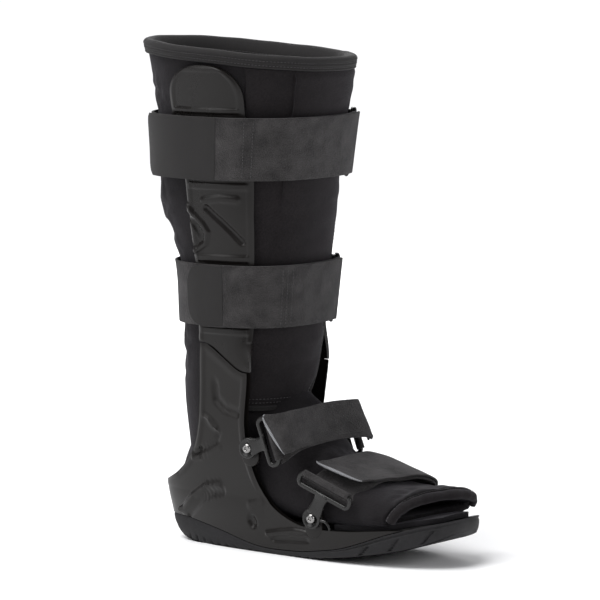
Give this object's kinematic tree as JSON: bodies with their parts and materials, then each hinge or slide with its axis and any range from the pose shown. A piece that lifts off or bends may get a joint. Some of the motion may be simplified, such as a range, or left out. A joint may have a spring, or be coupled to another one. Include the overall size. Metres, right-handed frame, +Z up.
{
  "type": "medical walking boot",
  "caption": "Tall rocker-soled walking boot with a hard foot shell, side uprights, a padded open-toed liner and hook-and-loop straps at calf, ankle and forefoot.",
  "frame": {"origin": "on the floor under the uprights' centre line, mid-width, on the flat contact face of the outsole", "axes": "+Z up, the toe points along -Y, -X is the wearer's right"},
  "size_m": [0.1631, 0.3167, 0.4353],
  "materials": {
    "sole_rubber": "matte moulded rubber, dark grey-black",
    "shell_plastic": "satin injection-moulded plastic, warm black",
    "bed_foam": "matte closed-cell foam",
    "liner_cloth": "brushed black laminate cloth over foam",
    "binding_tape": "woven edge binding",
    "strap_loop_pile": "charcoal webbing with loop pile",
    "fitting_plastic": "smooth black plastic",
    "rivet_steel": "bright domed rivets"
  },
  "bodies": {
    "root": {"outsole": "sole_rubber", "base_shell": "shell_plastic", "insole": "bed_foam", "liner": "liner_cloth", "shin_flap": "liner_cloth", "rim_binding": "binding_tape", "toe_roll": "binding_tape", "upright_right": "shell_plastic", "upright_left": "shell_plastic", "upper_calf_band": "strap_loop_pile", "upper_calf_strap": "strap_loop_pile", "upper_calf_ring": "fitting_plastic", "lower_calf_band": "strap_loop_pile", "lower_calf_strap": "strap_loop_pile", "lower_calf_ring": "fitting_plastic", "ankle_strap_under": "strap_loop_pile", "ankle_strap": "strap_loop_pile", "forefoot_strap_under": "strap_loop_pile", "forefoot_strap": "strap_loop_pile", "ankle_loop_right": "fitting_plastic", "ankle_rivet_right": "rivet_steel", "ankle_loop_left": "fitting_plastic", "ankle_rivet_left": "rivet_steel", "forefoot_loop_right": "fitting_plastic", "forefoot_rivet_right": "rivet_steel", "forefoot_loop_left": "fitting_plastic", "forefoot_rivet_left": "rivet_steel"}
  },
  "joints": []
}
